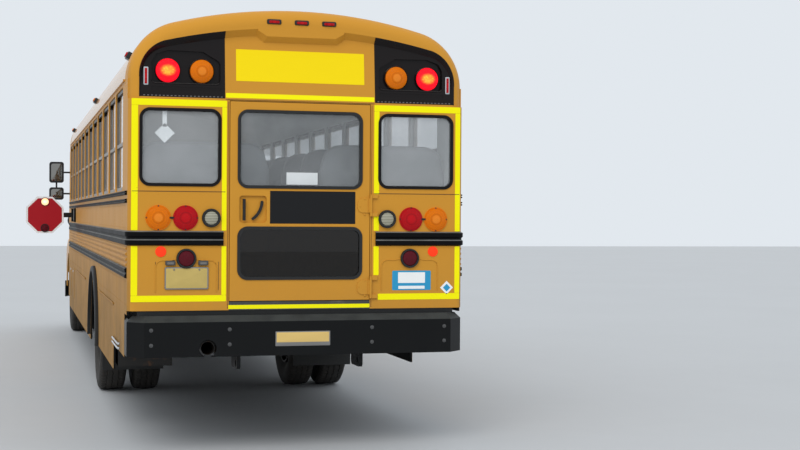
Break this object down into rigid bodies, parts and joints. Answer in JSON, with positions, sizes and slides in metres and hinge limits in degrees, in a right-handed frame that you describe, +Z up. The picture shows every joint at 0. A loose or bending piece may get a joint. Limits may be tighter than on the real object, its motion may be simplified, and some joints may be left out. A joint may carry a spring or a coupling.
{
  "type": "school bus",
  "caption": "Conventional school bus with a hood, cabin with bench seats, rear and entrance doors, roof hatches, lockers, stop arm, steering and rolling wheels.",
  "frame": {"origin": "on the ground under the middle of the overall box, stop arm and mirrors included", "axes": "+Z up, the bus faces -Y, +X is the bus's left side"},
  "size_m": [3.3234, 12, 3.1993],
  "materials": {
    "yellow_paint": "glossy school-bus yellow paint",
    "black_paint": "satin black paint on rails and bumpers",
    "chassis_black": "black chassis paint with road dust",
    "glass": "lightly tinted safety glass",
    "window_aluminium": "matte anodised window frames",
    "tyre_rubber": "black tyre rubber",
    "wheel_paint": "black painted steel wheels",
    "black_rubber": "black rubber guards",
    "seat_vinyl": "grey coated seat covering",
    "black_plastic": "moulded interior plastic",
    "floor_liner": "grey ribbed floor over painted steel",
    "galvanised": "dull galvanised steel",
    "engine_iron": "cast and painted engine",
    "tank_steel": "black painted tank",
    "red_lens": "red moulded lens",
    "amber_lens": "amber moulded lens",
    "clear_lens": "clear moulded lens",
    "mirror_black": "black mirror housings",
    "sign_red": "red reflective sign sheet with a white border",
    "grille_black": "black moulded grille"
  },
  "bodies": {
    "body": {"chassis_frame": "chassis_black", "floor": "floor_liner", "left_wall": "yellow_paint", "right_wall": "yellow_paint", "roof": "yellow_paint", "rear_cap": "yellow_paint", "rear_panels": "yellow_paint", "front_cap": "yellow_paint", "lamp_pods": "black_plastic", "cowl": "yellow_paint", "window_seals": "black_rubber", "step_well": "floor_liner", "window_frames": "window_aluminium", "window_glass": "glass", "rub_rails": "black_paint", "rear_bumper": "black_paint", "front_bumper": "black_paint", "seats": "seat_vinyl", "seat_frames": "galvanised", "dashboard": "black_plastic", "engine": "engine_iron", "front_axle": "chassis_black", "rear_axle": "chassis_black", "leaf_springs": "chassis_black", "fuel_tank": "tank_steel", "exhaust": "galvanised", "lockers": "galvanised", "mud_guards": "black_rubber", "side_mirrors": "mirror_black", "stop_arm_base": "black_paint", "red_lamps": "red_lens", "amber_lamps": "amber_lens", "clear_lamps": "clear_lens"},
    "rear_door": {"rear_door": "yellow_paint", "rear_door_fittings": "black_rubber", "rear_door_glass": "glass"},
    "entrance_front": {"entrance_door_front": "yellow_paint", "entrance_front_glass": "glass"},
    "entrance_rear": {"entrance_door_rear": "yellow_paint", "entrance_rear_glass": "glass"},
    "hood": {"hood": "yellow_paint", "grille": "grille_black", "headlamps": "clear_lens", "crossview_mirrors": "mirror_black"},
    "stop_arm": {"stop_sign": "sign_red"},
    "front_hatch": {"front_hatch": "yellow_paint"},
    "rear_hatch": {"rear_hatch": "yellow_paint"},
    "rear_locker_door": {"rear_locker_door": "yellow_paint"},
    "front_locker_door": {"front_locker_door": "yellow_paint"},
    "left_knuckle": {"left_knuckle": "chassis_black"},
    "right_knuckle": {"right_knuckle": "chassis_black"},
    "tie_rod": {"tie_rod": "chassis_black"},
    "left_front_wheel": {"left_front_wheel": "wheel_paint", "left_front_tyre": "tyre_rubber"},
    "right_front_wheel": {"right_front_wheel": "wheel_paint", "right_front_tyre": "tyre_rubber"},
    "left_rear_wheels": {"left_rear_wheels": "wheel_paint", "left_rear_tyres": "tyre_rubber"},
    "right_rear_wheels": {"right_rear_wheels": "wheel_paint", "right_rear_tyres": "tyre_rubber"}
  },
  "joints": [
    {"name": "rear_door_hinge", "type": "hinge", "parent": "body", "child": "rear_door", "pos_m": [-0.67875, 5.944, 1.5], "axis": [0, 0, 1], "range_deg": [0, 115]},
    {"name": "entrance_front_hinge", "type": "hinge", "parent": "body", "child": "entrance_front", "pos_m": [-1.38875, -4.005, 1.4], "axis": [0, 0, 1], "range_deg": [0, 90]},
    {"name": "entrance_rear_hinge", "type": "hinge", "parent": "body", "child": "entrance_rear", "pos_m": [-1.38875, -3.335, 1.4], "axis": [0, 0, -1], "range_deg": [0, 90]},
    {"name": "hood_tilt", "type": "hinge", "parent": "body", "child": "hood", "pos_m": [-0.16175, -5.792, 0.72], "axis": [1, 0, 0], "range_deg": [0, 45]},
    {"name": "stop_arm_swing", "type": "hinge", "parent": "body", "child": "stop_arm", "pos_m": [1.09725, -2.32, 1.68], "axis": [0, 0, 1], "range_deg": [0, 90]},
    {"name": "front_hatch_hinge", "type": "hinge", "parent": "body", "child": "front_hatch", "pos_m": [-0.16175, -1.636, 3.177], "axis": [1, 0, 0], "range_deg": [0, 80]},
    {"name": "rear_hatch_hinge", "type": "hinge", "parent": "body", "child": "rear_hatch", "pos_m": [-0.16175, 3.164, 3.177], "axis": [1, 0, 0], "range_deg": [0, 80]},
    {"name": "rear_locker_hinge", "type": "hinge", "parent": "body", "child": "rear_locker_door", "pos_m": [1.06325, 3.655, 0.997], "axis": [0, -1, 0], "range_deg": [0, 100]},
    {"name": "front_locker_hinge", "type": "hinge", "parent": "body", "child": "front_locker_door", "pos_m": [1.06325, -0.95, 0.997], "axis": [0, -1, 0], "range_deg": [0, 100]},
    {"name": "left_steer", "type": "hinge", "parent": "body", "child": "left_knuckle", "pos_m": [0.71825, -5.03, 0.508], "axis": [0, 0, 1], "range_deg": [-35, 35]},
    {"name": "right_steer", "type": "hinge", "parent": "body", "child": "right_knuckle", "pos_m": [-1.04175, -5.03, 0.508], "axis": [0, 0, 1], "range_deg": [-35, 35]},
    {"name": "tie_rod_joint", "type": "hinge", "parent": "left_knuckle", "child": "tie_rod", "pos_m": [0.71825, -4.84, 0.47], "axis": [0, 0, 1], "range_deg": [-35, 35]},
    {"name": "left_front_spin", "type": "hinge", "parent": "left_knuckle", "child": "left_front_wheel", "pos_m": [0.87825, -5.03, 0.508], "axis": [1, 0, 0], "continuous": true},
    {"name": "right_front_spin", "type": "hinge", "parent": "right_knuckle", "child": "right_front_wheel", "pos_m": [-1.20175, -5.03, 0.508], "axis": [1, 0, 0], "continuous": true},
    {"name": "left_rear_spin", "type": "hinge", "parent": "body", "child": "left_rear_wheels", "pos_m": [0.74325, 1.98, 0.508], "axis": [1, 0, 0], "continuous": true},
    {"name": "right_rear_spin", "type": "hinge", "parent": "body", "child": "right_rear_wheels", "pos_m": [-1.06675, 1.98, 0.508], "axis": [1, 0, 0], "continuous": true}
  ],
  "couplings": [
    {"joint": "right_steer", "follows": "left_steer", "ratio": 1},
    {"joint": "tie_rod_joint", "follows": "left_steer", "ratio": -1},
    {"joint": "entrance_rear_hinge", "follows": "entrance_front_hinge", "ratio": 1}
  ]
}
